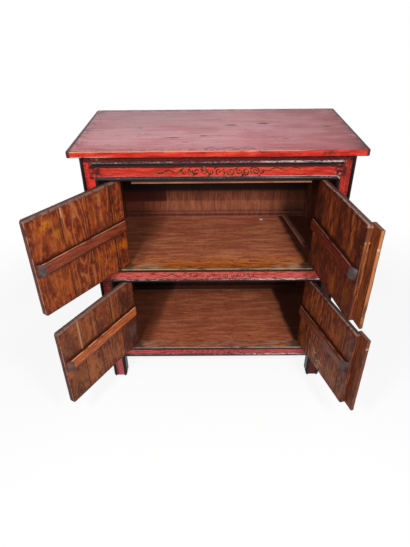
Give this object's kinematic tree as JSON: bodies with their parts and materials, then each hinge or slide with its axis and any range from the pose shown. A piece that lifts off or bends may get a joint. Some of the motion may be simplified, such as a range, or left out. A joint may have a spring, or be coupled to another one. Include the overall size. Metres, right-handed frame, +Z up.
{
  "type": "chinese wedding cabinet",
  "caption": "Low red lacquered cabinet with plank doors above and below a shelf, each turning on wooden pins, shown open.",
  "frame": {"origin": "on the floor, at the centre of the rectangle made by the outer faces of the four posts", "axes": "+X to the right as one faces the doors, +Y to the back, +Z up"},
  "size_m": [1.1125, 0.8642, 1.071],
  "materials": {
    "back_wood": "bare wood",
    "door_battens": "bare worn wood",
    "door_boards": "bare wood inside, red lacquer outside",
    "hidden_wood": "bare wood",
    "lacquered_case": "worn black lacquer",
    "lacquered_front_frame": "worn red and black lacquer",
    "lacquered_top": "worn red lacquer, dulled with dust",
    "meeting_strips": "bare wood inside, lacquered outside",
    "shelf_boards": "bare worn wood"
  },
  "bodies": {
    "cabinet": {"back_bottom_rail": "back_wood", "back_middle_rail": "back_wood", "back_top_rail": "back_wood", "door_stop": "hidden_wood", "front_bottom_rail": "lacquered_front_frame", "front_left_post": "lacquered_front_frame", "front_middle_rail": "lacquered_front_frame", "front_right_post": "lacquered_front_frame", "front_top_rail": "lacquered_front_frame", "left_bottom_rail": "lacquered_case", "left_lower_panel": "lacquered_case", "left_middle_rail": "lacquered_case", "left_top_rail": "lacquered_case", "left_upper_panel": "lacquered_case", "lower_back_boards": "back_wood", "lower_shelf_bearers": "hidden_wood", "lower_shelf_front_board": "shelf_boards", "lower_shelf_middle_board": "shelf_boards", "lower_shelf_rear_board": "shelf_boards", "rear_left_post": "lacquered_case", "rear_right_post": "lacquered_case", "right_bottom_rail": "lacquered_case", "right_lower_panel": "lacquered_case", "right_middle_rail": "lacquered_case", "right_top_rail": "lacquered_case", "right_upper_panel": "lacquered_case", "top_battens": "hidden_wood", "top_front_board": "lacquered_top", "top_middle_board": "lacquered_top", "top_rear_board": "lacquered_top", "upper_back_boards": "back_wood", "upper_shelf_bearers": "hidden_wood", "upper_shelf_front_board": "shelf_boards", "upper_shelf_middle_board": "shelf_boards", "upper_shelf_rear_board": "shelf_boards"},
    "upper_left_door": {"upper_left_batten": "door_battens", "upper_left_centre_board": "door_boards", "upper_left_hinge_stile": "door_boards", "upper_left_inner_board": "door_boards", "upper_left_meeting_board": "door_boards"},
    "lower_left_door": {"lower_left_batten": "door_battens", "lower_left_centre_board": "door_boards", "lower_left_hinge_stile": "door_boards", "lower_left_inner_board": "door_boards", "lower_left_meeting_board": "door_boards"},
    "upper_right_door": {"upper_right_batten": "door_battens", "upper_right_centre_board": "door_boards", "upper_right_hinge_stile": "door_boards", "upper_right_inner_board": "door_boards", "upper_right_meeting_board": "door_boards", "upper_right_meeting_strip": "meeting_strips"},
    "lower_right_door": {"lower_right_batten": "door_battens", "lower_right_centre_board": "door_boards", "lower_right_hinge_stile": "door_boards", "lower_right_inner_board": "door_boards", "lower_right_meeting_board": "door_boards", "lower_right_meeting_strip": "meeting_strips"}
  },
  "joints": [
    {"name": "upper_left_door_hinge", "type": "hinge", "parent": "cabinet", "child": "upper_left_door", "pos_m": [-0.374, -0.2309, 0.589], "axis": [0, 0, -1], "range_deg": [-126, 9]},
    {"name": "lower_left_door_hinge", "type": "hinge", "parent": "cabinet", "child": "lower_left_door", "pos_m": [-0.374, -0.2309, 0.173], "axis": [0, 0, -1], "range_deg": [-121, 14]},
    {"name": "upper_right_door_hinge", "type": "hinge", "parent": "cabinet", "child": "upper_right_door", "pos_m": [0.38, -0.2309, 0.589], "axis": [0, 0, 1], "range_deg": [-99.6, 35.4]},
    {"name": "lower_right_door_hinge", "type": "hinge", "parent": "cabinet", "child": "lower_right_door", "pos_m": [0.38, -0.2309, 0.173], "axis": [0, 0, 1], "range_deg": [-106.8, 28.2]}
  ]
}
